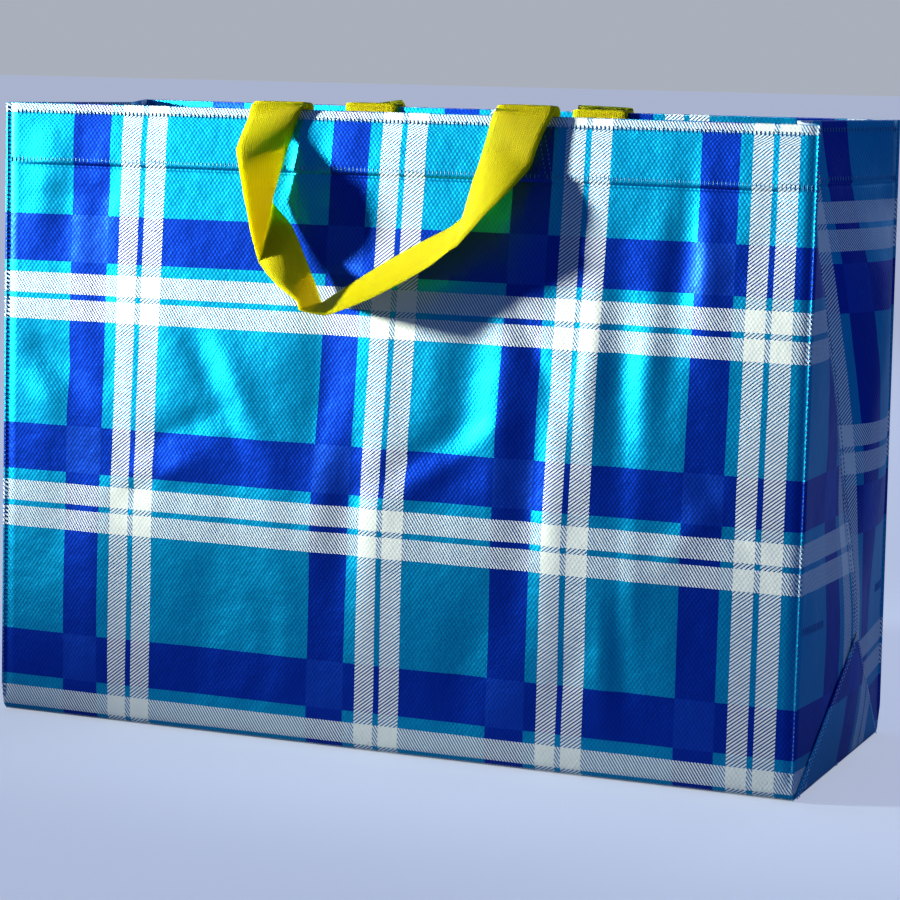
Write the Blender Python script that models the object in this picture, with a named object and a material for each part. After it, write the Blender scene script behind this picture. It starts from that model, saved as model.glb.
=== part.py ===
"""Reusable shopping bag of woven plastic sheet, with a tartan print and two webbing handles.

The bag stands on its base with its mouth up. The origin is the middle of the base, +X runs along the
long sides and -Y faces the front. Lengths are in metres.
"""

import math

import bmesh
import bpy
from mathutils import Vector

# Driving sizes of the bag
BAG_WIDTH = 0.540
BAG_HEIGHT = 0.400
BASE_DEPTH = 0.204
RIM_DEPTH = 0.188
SHEET = 0.0008
HEM_HEIGHT = 0.037
HEM_LAYERS = 2
LONG_EDGE_RADIUS = 0.008
END_EDGE_RADIUS = 0.002
PINCH = 0.0012
PINCH_RUN = 0.003

# Folded ends: the gusset's valley, its shoulders and the ear that is folded up against it
VALLEY_DEPTH = 0.040
VALLEY_FOOT = 0.150
VALLEY_GROWTH = 1.15
SHOULDER_FOOT = 0.130
SHOULDER_TOP = 0.345
SHOULDER_GROWTH = 1.3
SHOULDER_ROUNDING = 0.5
EAR_HEIGHT = 0.086
EAR_FOOT = 0.005
EAR_LEAN = 0.009
EAR_LEAN_FADE = 0.090
BACK_BULGE = 0.008
BACK_BULGE_TOP = 0.390
BACK_BULGE_REACH = 0.090
EAR_LAYERS = 2

# Handles
STRAP_WIDTH = 0.038
STRAP_THICKNESS = 0.0014
STRAP_CLEARANCE = 0.0004
EDGE_CLEARANCE = 0.0010
FRONT_RISE = 0.0040
BACK_RISE = 0.0005
STRAP_TAIL = 0.034
TAIL_SHIFT = 0.006
BACK_HANDLE_SHIFT = -0.004

# Print: one repeat of the tartan along each direction, from the start of its blue stripe
REPEAT_ACROSS = 0.122
REPEAT_ALONG = 0.1365
BLUE_ACROSS = 0.0252
BLUE_ALONG = 0.0300
GAP = 0.0078
WHITE_STRIPE = 0.0132
WHITE_SPACING = 0.0038
FIRST_BLUE_ACROSS = 0.0450
FIRST_BLUE_ALONG = 0.0710
BASE_SLIP = 0.012
STRIP_SLACK = 0.004
WIDE_FIELD_START = 0.164
WIDE_FIELD_EXTRA = 0.054
TURQUOISE = (0.005, 0.42, 0.58)
BLUE = (0.006, 0.035, 0.42)
WHITE = (0.78, 0.80, 0.78)
UNPRINTED = (0.36, 0.55, 0.62)
YELLOW = (0.72, 0.62, 0.01)

# Mesh density
LONG_COLUMNS = 8
EAR_STEPS = 6
FOLD_ROWS = 12
HEM_ROWS = 2
STEPS_PER_STATION = 3


def clear_scene():
    """Remove every object, so that the model stands alone."""
    for thing in list(bpy.data.objects):
        bpy.data.objects.remove(thing, do_unlink=True)


def smooth(low, high, value):
    """Ease from 0 to 1 while value runs from low to high."""
    t = min(max((value - low) / (high - low), 0.0), 1.0)
    return t * t * (3.0 - 2.0 * t)


def soft_ramp(value, rounding):
    """Return 0 below zero and value above it, rounded off near zero."""
    if value >= rounding:
        return value
    if value <= -rounding:
        return 0.0
    return (value + rounding) ** 2 / (4.0 * rounding)


def edge_inset(radius, height):
    """How far a rounded bottom edge lies inside the wall at a height above the base."""
    if height >= radius:
        return 0.0
    return radius - math.sqrt(radius ** 2 - (radius - height) ** 2)


def edge_arc(radius, height):
    """Length of sheet on the rounded edge between a height and the foot of the plain wall."""
    if height >= radius:
        return radius - height
    return radius * math.asin((radius - height) / radius)


def panel_half_depth(height):
    """Half the distance between the long sides, which lean in towards the rim."""
    return (BASE_DEPTH + (RIM_DEPTH - BASE_DEPTH) * height / BAG_HEIGHT) / 2


def end_offset(across, height):
    """How far an end wall stands out (or is folded in) at a share across of its half depth."""
    off_seam = abs(across)
    up_ear = (height - EAR_FOOT) / (EAR_HEIGHT - EAR_FOOT)
    if height <= EAR_HEIGHT:
        return EAR_LEAN * max(min(up_ear, 1.0 - off_seam), 0.0)
    lean = EAR_LEAN * (1.0 - off_seam) * (1.0 - smooth(EAR_HEIGHT, EAR_HEIGHT + EAR_LEAN_FADE, height))
    if across > 0.0:
        swell = smooth(EAR_HEIGHT, EAR_HEIGHT + BACK_BULGE_REACH, height)
        swell *= 1.0 - smooth(BACK_BULGE_TOP - BACK_BULGE_REACH, BACK_BULGE_TOP, height)
        lean += BACK_BULGE * swell * math.sin(math.pi * off_seam)
    if height <= VALLEY_FOOT:
        return lean
    depth = VALLEY_DEPTH * ((height - VALLEY_FOOT) / (BAG_HEIGHT - VALLEY_FOOT)) ** VALLEY_GROWTH
    shoulder = min(((height - SHOULDER_FOOT) / (SHOULDER_TOP - SHOULDER_FOOT)) ** SHOULDER_GROWTH, 1.0)
    rounding = min(SHOULDER_ROUNDING, 0.8 * (1.0 / shoulder - 1.0))
    return lean - depth * soft_ramp(1.0 - off_seam / shoulder, rounding)


# Build: columns round the bag

def column_shares():
    """List the columns round the bag as (panel, share), starting at the front left."""
    long_side = [2.0 * i / LONG_COLUMNS - 1.0 for i in range(LONG_COLUMNS + 1)]
    end_side = [i / EAR_STEPS - 1.0 for i in range(2 * EAR_STEPS + 1)]
    columns = [("front", share) for share in long_side] + [("corner", 0)]
    columns += [("right", share) for share in end_side] + [("corner", 1)]
    columns += [("back", -share) for share in long_side] + [("corner", 2)]
    columns += [("left", -share) for share in end_side] + [("corner", 3)]
    return columns


def plan_point(panel, share, height, half_width, half_depth, pinch):
    """Place one column of the wall in plan."""
    if panel == "corner":
        side_x = 1.0 if share in (0, 1) else -1.0
        side_y = -1.0 if share in (0, 3) else 1.0
        return Vector((side_x * (half_width + pinch), side_y * (half_depth + pinch)))
    if panel in ("front", "back"):
        side_y = -1.0 if panel == "front" else 1.0
        return Vector((share * (half_width - PINCH_RUN), side_y * half_depth))
    side_x = 1.0 if panel == "right" else -1.0
    out = half_width + end_offset(share, height)
    return Vector((side_x * out, share * (half_depth - PINCH_RUN)))


def wall_ring(columns, height, thickness=0.0):
    """Plan outline of the wall at a height; with a thickness, its inner face."""
    level = max(height - thickness, 0.0)
    long_radius = LONG_EDGE_RADIUS - thickness
    end_radius = max(END_EDGE_RADIUS - thickness, 0.0005)
    inset_x = edge_inset(end_radius, level)
    inset_y = edge_inset(long_radius, level)
    half_width = BAG_WIDTH / 2 - inset_x
    half_depth = panel_half_depth(height) - inset_y
    pinch = PINCH * smooth(LONG_EDGE_RADIUS, 2.0 * LONG_EDGE_RADIUS, height) if thickness == 0.0 else 0.0
    ring = [plan_point(panel, share, height, half_width, half_depth, pinch) for panel, share in columns]
    if thickness == 0.0:
        return ring
    inner = []
    count = len(ring)
    for i, point in enumerate(ring):
        before = (point - ring[i - 1]).normalized()
        after = (ring[(i + 1) % count] - point).normalized()
        normal_before = Vector((-before.y, before.x))
        normal_after = Vector((-after.y, after.x))
        bisector = (normal_before + normal_after).normalized()
        reach = thickness / max(bisector.dot(normal_after), 0.5)
        inner.append(point + bisector * reach)
    return inner


def wall_rows():
    """Heights of the rows of the outer face, from the base to the rim."""
    rows = [0.0, 0.3 * END_EDGE_RADIUS, END_EDGE_RADIUS]
    rows += [EAR_FOOT + (EAR_HEIGHT - EAR_FOOT) * i / EAR_STEPS for i in range(EAR_STEPS + 1)]
    hem_line = BAG_HEIGHT - HEM_HEIGHT
    rows += [EAR_HEIGHT + (hem_line - EAR_HEIGHT) * i / FOLD_ROWS for i in range(1, FOLD_ROWS + 1)]
    rows += [hem_line + HEM_HEIGHT * i / HEM_ROWS for i in range(1, HEM_ROWS + 1)]
    return rows


# Build: where the sheet's print falls

def sheet_across(columns, ring):
    """Distance across the sheet for each column, from the front left edge of the bag."""
    half_end = BASE_DEPTH / 2
    across = {}
    for panel, side_start in (("right", BAG_WIDTH), ("left", 0.0)):
        members = [i for i, (name, _) in enumerate(columns) if name == panel]
        runs = [0.0]
        for i, j in zip(members, members[1:]):
            runs.append(runs[-1] + (ring[j] - ring[i]).length)
        middle = runs[EAR_STEPS]
        for i, run in zip(members, runs):
            if run <= middle:
                away = half_end * run / middle
            else:
                away = half_end * (runs[-1] - run) / (runs[-1] - middle)
            across[i] = side_start + away if panel == "right" else side_start - away
    for i, (panel, share) in enumerate(columns):
        if panel in ("front", "back"):
            across[i] = (share + 1.0) / 2.0 * BAG_WIDTH
        if panel == "corner":
            across[i] = BAG_WIDTH if share in (0, 1) else 0.0
    return [across[i] for i in range(len(columns))]


def front_along(height):
    """Distance along the sheet from the front rim, down the front wall."""
    return BAG_HEIGHT - LONG_EDGE_RADIUS + edge_arc(LONG_EDGE_RADIUS, height)


def base_along(y):
    """Distance along the sheet from the front rim, under the base."""
    return front_along(0.0) + y + BASE_DEPTH / 2 - LONG_EDGE_RADIUS - BASE_SLIP


def back_along(height):
    """Distance along the sheet from the front rim, up the back wall."""
    return 2.0 * BAG_HEIGHT + BASE_DEPTH + STRIP_SLACK - front_along(height)


def on_back_half(panel, share, next_share):
    """Whether a face between two columns belongs to the back half of the sheet."""
    if panel == "corner":
        return share in (1, 2)
    if panel in ("right", "left"):
        return share + next_share > 0.0
    return panel == "back"


# Build: the bag's one sheet

def build_bag_mesh():
    """Make the sheet as one closed body: outer face, turned-in hem, inner face and raised ears."""
    columns = column_shares()
    count = len(columns)
    rows = wall_rows()
    mesh = bmesh.new()
    print_map = mesh.loops.layers.uv.new("sheet")

    def add_ring(height, thickness):
        ring = wall_ring(columns, height, thickness)
        return ring, [mesh.verts.new((p.x, p.y, height)) for p in ring]

    def add_face(corners, places, slot):
        face = mesh.faces.new(corners)
        face.material_index = slot
        for loop, place in zip(face.loops, places):
            loop[print_map].uv = place
        return face

    outer = [add_ring(height, 0.0) for height in rows]
    across = [sheet_across(columns, ring) for ring, _ in outer]
    ear_top = rows.index(EAR_HEIGHT)
    ear_low = 1
    ear_faces = []
    ear_step = EAR_LAYERS * SHEET

    def place(row, column, back):
        along = back_along(rows[row]) if back else front_along(rows[row])
        return across[row][column], along

    # Outer face, row by row; the ears' triangles are kept back and raised afterwards
    for row in range(len(rows) - 1):
        for column in range(count):
            following = (column + 1) % count
            panel, share = columns[column]
            next_panel, next_share = columns[following]
            back = on_back_half(panel, share, next_share if next_panel == panel else share)
            if panel != "corner" and next_panel == "corner" and panel in ("right", "left"):
                back = share > 0.0
            corners = [(row, column), (row, following), (row + 1, following), (row + 1, column)]
            on_ear = panel in ("right", "left") and next_panel == panel and ear_low <= row < ear_top
            if not on_ear:
                add_face([outer[r][1][c] for r, c in corners], [place(r, c, back) for r, c in corners], 0)
                continue
            climb = row - rows.index(EAR_FOOT)
            rising = columns[column][1] + columns[following][1] < 0.0
            if panel == "left":
                rising = not rising
            step = round((min(abs(share), abs(next_share))) * EAR_STEPS)
            cell = EAR_STEPS - 1 - step
            if cell > climb and climb >= 0 or climb < 0:
                ear_faces.append(corners)
            elif cell < climb:
                add_face([outer[r][1][c] for r, c in corners], [place(r, c, back) for r, c in corners], 0)
            else:
                first, second, third, fourth = corners
                toward_seam_is_second = abs(next_share) < abs(share)
                if toward_seam_is_second:
                    ear_faces.append([first, second, third])
                    plain = [first, third, fourth]
                else:
                    ear_faces.append([first, second, fourth])
                    plain = [second, third, fourth]
                add_face([outer[r][1][c] for r, c in plain], [place(r, c, back) for r, c in plain], 0)

    # Ears: the folded corner lies on the end wall, so its face stands its layers proud
    raised = {}
    edges = {}
    for corners in ear_faces:
        for here, there in zip(corners, corners[1:] + corners[:1]):
            edges[(here, there)] = True
        for row, column in corners:
            if (row, column) not in raised:
                foot = outer[row][1][column].co
                side = 1.0 if foot.x > 0.0 else -1.0
                raised[(row, column)] = mesh.verts.new(foot + Vector((side * ear_step, 0.0, 0.0)))

    def ear_place(row, column):
        foot = outer[row][1][column].co
        up = rows[row]
        turned = BAG_WIDTH + up if foot.x > 0.0 else -up
        return turned, base_along(foot.y)

    for corners in ear_faces:
        add_face([raised[key] for key in corners], [ear_place(*key) for key in corners], 0)
    for here, there in edges:
        if (there, here) in edges:
            continue
        corners = [outer[here[0]][1][here[1]], outer[there[0]][1][there[1]], raised[there], raised[here]]
        add_face(corners, [ear_place(*here), ear_place(*there), ear_place(*there), ear_place(*here)], 0)

    # Flat base
    base_loop = [outer[0][1][i] for i in reversed(range(count))]
    base_places = [(v.co.x + BAG_WIDTH / 2, base_along(v.co.y)) for v in base_loop]
    add_face(base_loop, base_places, 0)

    # Over the rim, down the turned-in hem, and down the inner face
    hem = HEM_LAYERS * SHEET
    rim_row = len(rows) - 1
    hem_row = rows.index(rows[rim_row - HEM_ROWS])
    inside = []
    for row in range(rim_row, hem_row - 1, -1):
        inside.append((row, rows[row], add_ring(rows[row], hem)[1], 0))
    for row in range(hem_row, 0, -1):
        inside.append((row, rows[row] + (SHEET if rows[row] < LONG_EDGE_RADIUS else 0.0), None, 1))
    inside.append((0, SHEET, None, 1))
    chain = [(rim_row, BAG_HEIGHT, outer[rim_row][1], 0)]
    for row, height, ring, slot in inside:
        chain.append((row, height, ring or add_ring(height, SHEET)[1], slot))
    for (row_a, height_a, ring_a, _), (row_b, height_b, ring_b, slot) in zip(chain, chain[1:]):
        for column in range(count):
            following = (column + 1) % count
            corners = [ring_a[column], ring_a[following], ring_b[following], ring_b[column]]
            places = []
            for index, row, height in ((column, row_a, height_a), (following, row_a, height_a),
                                       (following, row_b, height_b), (column, row_b, height_b)):
                places.append((across[row][index], height - BAG_HEIGHT))
            add_face(corners, places, slot)
    floor_loop = [chain[-1][2][i] for i in range(count)]
    add_face(floor_loop, [(v.co.x, v.co.y) for v in floor_loop], 1)

    mesh.normal_update()
    data = bpy.data.meshes.new("bag_body")
    mesh.to_mesh(data)
    mesh.free()
    return data


# Build: the handles

def strap_stations():
    """Stations of the front handle: (x, drop) of its middle, and the vector across it in strap widths.

    The strap comes up inside the hem, goes over the rim and hangs down the front. Each leg turns edge-on
    as it falls, so the loop's foot stands out from the bag on one edge.
    """
    return [
        ((-0.0765, 0.004), (-1.00, 0.00, 0.04)),
        ((-0.0830, 0.021), (-0.99, 0.04, 0.14)),
        ((-0.0774, 0.045), (-0.32, 0.84, 0.50)),
        ((-0.0735, 0.071), (0.12, 0.86, 0.80)),
        ((-0.0629, 0.085), (-0.06, 0.87, 0.64)),
        ((-0.0525, 0.099), (-0.03, 0.92, 0.37)),
        ((-0.0434, 0.111), (0.12, 0.96, 0.19)),
        ((-0.0340, 0.119), (0.36, 0.98, 0.12)),
        ((-0.0175, 0.113), (0.42, 0.93, 0.30)),
        ((0.0225, 0.091), (0.28, 0.86, 0.45)),
        ((0.0555, 0.070), (0.26, 0.86, 0.44)),
        ((0.0672, 0.056), (0.74, 0.69, 0.04)),
        ((0.0727, 0.046), (0.92, 0.42, -0.14)),
        ((0.0784, 0.030), (0.98, 0.10, -0.02)),
        ((0.0813, 0.014), (0.99, 0.00, 0.02)),
        ((0.0860, 0.004), (1.00, 0.00, 0.00)),
    ]


def hang_point(x, drop, across=(0.0, 0.0, 0.0)):
    """The strap's middle in front of the bag, drop below the rim, with its near edge just off the wall."""
    height = BAG_HEIGHT - drop
    turned = abs(across[1])
    stand = STRAP_CLEARANCE + STRAP_THICKNESS / 2 + turned * (STRAP_WIDTH / 2 + EDGE_CLEARANCE)
    return Vector((x, -panel_half_depth(height - STRAP_WIDTH / 2) - stand, height))


def tail_point(x, drop):
    """A point inside the bag, on the strap's tail against the hem."""
    height = BAG_HEIGHT - drop
    stand = HEM_LAYERS * SHEET + STRAP_CLEARANCE + STRAP_THICKNESS / 2
    return Vector((x, -panel_half_depth(height) + stand, height))


def strap_tail(x_inside, x_outside, across, arch):
    """Stations of a tail: up the hem, then over the rim with an arch of the given rise."""
    stations = [(tail_point(x_inside, STRAP_TAIL), across), (tail_point(x_inside, STRAP_TAIL / 2), across)]
    inner = tail_point(x_inside, 0.0)
    outer = hang_point(x_outside, 0.0)
    middle = (inner + outer) / 2
    spread = (inner - outer) / 2
    for angle in (0.0, 45.0, 90.0, 135.0, 180.0):
        turn = math.radians(angle)
        rise = Vector((0.0, 0.0, STRAP_THICKNESS / 2 + arch * math.sin(turn)))
        stations.append((middle + spread * math.cos(turn) + rise, across))
    return stations


def catmull(before, start, end, after, t):
    """Smooth curve between start and end."""
    linear = end - before
    square = 2.0 * before - 5.0 * start + 4.0 * end - after
    cubic = 3.0 * start - before - 3.0 * end + after
    return start + 0.5 * (linear * t + square * t ** 2 + cubic * t ** 3)


def hanging_lines():
    """Middle and width vector of the strap at each step of its hanging part."""
    stations = [(Vector((x, drop, 0.0)), Vector(across)) for (x, drop), across in strap_stations()]
    last = len(stations) - 1
    lines = []
    for i in range(last):
        picks = [stations[max(min(j, last), 0)] for j in (i - 1, i, i + 1, i + 2)]
        steps = STEPS_PER_STATION + (1 if i == last - 1 else 0)
        for step in range(steps):
            t = step / STEPS_PER_STATION
            place = catmull(*[pick[0] for pick in picks], t)
            across = catmull(*[pick[1] for pick in picks], t)
            across.y = max(across.y, 0.0)
            middle = hang_point(place.x, place.y, across)
            lines.append((middle, Vector((across.x, -across.y, -across.z)) * STRAP_WIDTH))
    return lines


def build_strap_mesh(name, arch):
    """Make the strap as one closed ribbon with a rectangular section."""
    hanging = hanging_lines()
    first, last = hanging[0][0], hanging[-1][0]
    left = strap_tail(first.x + TAIL_SHIFT, first.x + TAIL_SHIFT / 3, Vector((-STRAP_WIDTH, 0.0, 0.0)), arch)
    right = strap_tail(last.x + TAIL_SHIFT, last.x + TAIL_SHIFT / 3, Vector((STRAP_WIDTH, 0.0, 0.0)), arch)
    lines = left + hanging + right[::-1]
    mesh = bmesh.new()
    sections = []
    for i, (middle, across) in enumerate(lines):
        run = (lines[min(i + 1, len(lines) - 1)][0] - lines[max(i - 1, 0)][0]).normalized()
        normal = across.cross(run).normalized() * (STRAP_THICKNESS / 2)
        half = across / 2
        offsets = (normal - half, normal + half, half - normal, -half - normal)
        sections.append([mesh.verts.new(middle + offset) for offset in offsets])
    for near, far in zip(sections, sections[1:]):
        for i in range(4):
            j = (i + 1) % 4
            mesh.faces.new((near[i], near[j], far[j], far[i]))
    mesh.faces.new(reversed(sections[0]))
    mesh.faces.new(sections[-1])
    bmesh.ops.recalc_face_normals(mesh, faces=mesh.faces)
    data = bpy.data.meshes.new(name)
    mesh.to_mesh(data)
    mesh.free()
    return data


# Build: materials

def add_node(tree, kind, settings=None, inputs=None):
    """Add a node, set its properties, and set or link its inputs."""
    node = tree.nodes.new(kind)
    for name, value in (settings or {}).items():
        setattr(node, name, value)
    for name, value in (inputs or {}).items():
        if isinstance(value, bpy.types.NodeSocket):
            tree.links.new(value, node.inputs[name])
        else:
            node.inputs[name].default_value = value
    return node


def plain_material(name, colour, roughness):
    """A single-colour plastic."""
    material = bpy.data.materials.new(name)
    material.use_nodes = True
    shader = material.node_tree.nodes["Principled BSDF"]
    shader.inputs["Base Color"].default_value = (*colour, 1.0)
    shader.inputs["Roughness"].default_value = roughness
    material.diffuse_color = (*colour, 1.0)
    return material


def stripe_fields(tree, distance, repeat, blue_width):
    """Split one repeat into its fields: red marks the blue stripe and green the pair of white ones."""
    share = add_node(tree, "ShaderNodeMath", {"operation": "DIVIDE"}, {0: distance, 1: repeat})
    share = add_node(tree, "ShaderNodeMath", {"operation": "FRACT"}, {0: share.outputs[0]})
    ramp = add_node(tree, "ShaderNodeValToRGB", None, {0: share.outputs[0]})
    ramp.color_ramp.interpolation = "CONSTANT"
    blue, white, plain = (1.0, 0.0, 0.0, 1.0), (0.0, 1.0, 0.0, 1.0), (0.0, 0.0, 0.0, 1.0)
    edge = blue_width
    fields = [(0.0, blue), (edge, plain)]
    edge += GAP
    fields.append((edge, white))
    edge += WHITE_STRIPE
    fields.append((edge, plain))
    edge += WHITE_SPACING
    fields.append((edge, white))
    edge += WHITE_STRIPE
    fields.append((edge, plain))
    stops = ramp.color_ramp.elements
    while len(stops) < len(fields):
        stops.new(1.0)
    for stop, (start, colour) in zip(stops, fields):
        stop.position = start / repeat
        stop.color = colour
    return add_node(tree, "ShaderNodeSeparateColor", None, {0: ramp.outputs[0]}).outputs


def tartan_material():
    """Laminated sheet printed with a tartan of blue and white stripes on turquoise."""
    material = plain_material("tartan_print", TURQUOISE, 0.32)
    tree = material.node_tree
    sheet = add_node(tree, "ShaderNodeUVMap", {"uv_map": "sheet"})
    place = add_node(tree, "ShaderNodeSeparateXYZ", None, {0: sheet.outputs[0]}).outputs
    past = add_node(tree, "ShaderNodeMath", {"operation": "GREATER_THAN"}, {0: place[0], 1: WIDE_FIELD_START})
    skip = add_node(tree, "ShaderNodeMath", {"operation": "MULTIPLY"},
                    {0: past.outputs[0], 1: -WIDE_FIELD_EXTRA})
    across = add_node(tree, "ShaderNodeMath", {"operation": "ADD"}, {0: place[0], 1: skip.outputs[0]})
    across = add_node(tree, "ShaderNodeMath", {"operation": "SUBTRACT"},
                      {0: across.outputs[0], 1: FIRST_BLUE_ACROSS - 10 * REPEAT_ACROSS})
    along = add_node(tree, "ShaderNodeMath", {"operation": "SUBTRACT"},
                     {0: place[1], 1: FIRST_BLUE_ALONG - 10 * REPEAT_ALONG})
    warp = stripe_fields(tree, across.outputs[0], REPEAT_ACROSS, BLUE_ACROSS)
    weft = stripe_fields(tree, along.outputs[0], REPEAT_ALONG, BLUE_ALONG)
    blue = add_node(tree, "ShaderNodeMath", {"operation": "MAXIMUM"}, {0: warp[0], 1: weft[0]})
    whites = add_node(tree, "ShaderNodeMath", {"operation": "ADD"}, {0: warp[1], 1: weft[1]})
    white = add_node(tree, "ShaderNodeMath", {"operation": "MULTIPLY", "use_clamp": True},
                     {0: whites.outputs[0], 1: 0.6})
    ground = add_node(tree, "ShaderNodeMix", {"data_type": "RGBA"},
                      {0: blue.outputs[0], 6: (*TURQUOISE, 1.0), 7: (*BLUE, 1.0)})
    printed = add_node(tree, "ShaderNodeMix", {"data_type": "RGBA"},
                       {0: white.outputs[0], 6: ground.outputs[2], 7: (*WHITE, 1.0)})
    tree.links.new(printed.outputs[2], tree.nodes["Principled BSDF"].inputs["Base Color"])
    return material


# Assemble

def add_object(name, data, materials):
    """Put a mesh in the scene under a name, with its materials."""
    thing = bpy.data.objects.new(name, data)
    bpy.context.collection.objects.link(thing)
    for material in materials:
        data.materials.append(material)
    return thing


clear_scene()
sheet_faces = [tartan_material(), plain_material("unprinted_side", UNPRINTED, 0.5)]
add_object("bag_body", build_bag_mesh(), sheet_faces)
webbing = plain_material("yellow_webbing", YELLOW, 0.55)
add_object("front_handle", build_strap_mesh("front_strap", FRONT_RISE), [webbing])
back_handle = add_object("back_handle", build_strap_mesh("back_strap", BACK_RISE), [webbing])
back_handle.rotation_euler = (0.0, 0.0, math.pi)
back_handle.location = (BACK_HANDLE_SHIFT, 0.0, 0.0)
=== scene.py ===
"""A reusable carrier bag of glossy woven polypropylene with a tartan print and yellow webbing handles.

Lengths are in metres in the row frame: the origin is the middle of the base, +X runs along the long sides,
-Y faces the front and +Z is up.
"""

import math

import bmesh
import bpy
from mathutils import Matrix, Vector, noise


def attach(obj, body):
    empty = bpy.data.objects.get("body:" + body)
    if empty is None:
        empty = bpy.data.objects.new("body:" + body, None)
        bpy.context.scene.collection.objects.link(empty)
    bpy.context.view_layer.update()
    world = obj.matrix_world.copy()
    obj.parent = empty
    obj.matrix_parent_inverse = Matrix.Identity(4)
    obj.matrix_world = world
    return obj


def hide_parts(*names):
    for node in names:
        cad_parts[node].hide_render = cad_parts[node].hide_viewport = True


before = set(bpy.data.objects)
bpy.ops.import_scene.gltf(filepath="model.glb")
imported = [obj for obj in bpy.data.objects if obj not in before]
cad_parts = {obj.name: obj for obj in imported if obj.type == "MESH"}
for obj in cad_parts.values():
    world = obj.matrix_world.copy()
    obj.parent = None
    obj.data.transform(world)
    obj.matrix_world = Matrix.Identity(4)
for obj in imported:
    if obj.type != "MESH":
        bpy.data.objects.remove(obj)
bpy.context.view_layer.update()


# Printed sheet
# One strip of woven polypropylene tape with a glossy printed film laminated on its outer side. It runs down
# the front, under the base and up the back, its halves meet at a seam in each folded end, and the rim is
# turned in as a hem.

BAG_WIDTH = 0.540
BAG_HEIGHT = 0.400
BASE_DEPTH = 0.204
RIM_DEPTH = 0.188
SHEET_THICKNESS = 0.0004
HEM_HEIGHT = 0.0392
HEM_FOOT = BAG_HEIGHT - HEM_HEIGHT
HEM_GAP = 0.0013
RIM_LIFT = 0.0006
BOTTOM_RADIUS = 0.008
END_RADIUS = 0.002
CREASE_FOOT = 0.0030
EDGE_POINTS = 5
# From the wall's last column to the corner: the offset in x and y, and what the seam's pinch adds to each
EDGE_PROFILE = ((-0.0021, 0.0, 0.0, -0.0009), (-0.0007, 0.0, 0.0004, 0.0005), (0.0, 0.0, 0.0010, 0.0005))
EAR_HEIGHT = 0.086
EAR_PROUD = 0.0009
EAR_PUSHES_END_OUT = 0.009
FOLD_FOOT = 0.150
FOLD_DEPTH_AT_RIM = 0.040
SEAM_SHARE = 0.022
SEAM_PROUD = 0.0007
BOW_FOOT = 0.13
BOW_AT_RIM = 0.015
HEM_PROUD = 0.0008
HEM_GROOVE = 0.0009
DENT_SCALE = 1.3


def ease(low, high, value):
    """Go from 0 to 1 with soft ends while value goes from low to high."""
    t = min(max((value - low) / (high - low), 0.0), 1.0)
    return t * t * (3.0 - 2.0 * t)


def half_depth(height):
    """Half the bag's depth, which narrows from the base to the rim."""
    return (BASE_DEPTH + (RIM_DEPTH - BASE_DEPTH) * height / BAG_HEIGHT) / 2


def rounded_in(radius, height):
    """How far the rounded bottom edge lies inside the wall."""
    if height >= radius:
        return 0.0
    return radius - math.sqrt(radius ** 2 - (radius - height) ** 2)


def rounded_run(radius, height):
    """Length of sheet between a height and the foot of the plain wall."""
    if height >= radius:
        return radius - height
    return radius * math.asin((radius - height) / radius)


def gusset_offset(across, height):
    """How far the folded end stands out, from -1 at its front edge over 0 at the seam to 1 at its back."""
    off_seam = abs(across)
    up_ear = (height - 0.005) / (EAR_HEIGHT - 0.005)
    if height <= EAR_HEIGHT:
        return EAR_PUSHES_END_OUT * max(min(up_ear, 1.0 - off_seam), 0.0)
    lean = EAR_PUSHES_END_OUT * (1.0 - off_seam) * (1.0 - ease(EAR_HEIGHT, EAR_HEIGHT + 0.090, height))
    # The back half swells out between the ear and the fold
    if across > 0.0:
        swell = ease(EAR_HEIGHT, 0.176, height) * (1.0 - ease(0.300, 0.390, height))
        lean += 0.008 * swell * math.sin(math.pi * off_seam)
    if height <= FOLD_FOOT:
        return lean
    # The fold runs in as a V that widens upwards, with a rounded shoulder where it leaves the flat end
    depth = FOLD_DEPTH_AT_RIM * ((height - FOLD_FOOT) / (BAG_HEIGHT - FOLD_FOOT)) ** 1.15
    shoulder = min(((height - 0.130) / 0.215) ** 1.3, 1.0)
    rounding = min(0.22, 0.8 * (1.0 / shoulder - 1.0))
    ramp = 1.0 - off_seam / shoulder
    if ramp < rounding:
        ramp = 0.0 if ramp <= -rounding else (ramp + rounding) ** 2 / (4.0 * rounding)
    return lean - depth * ramp


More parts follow.
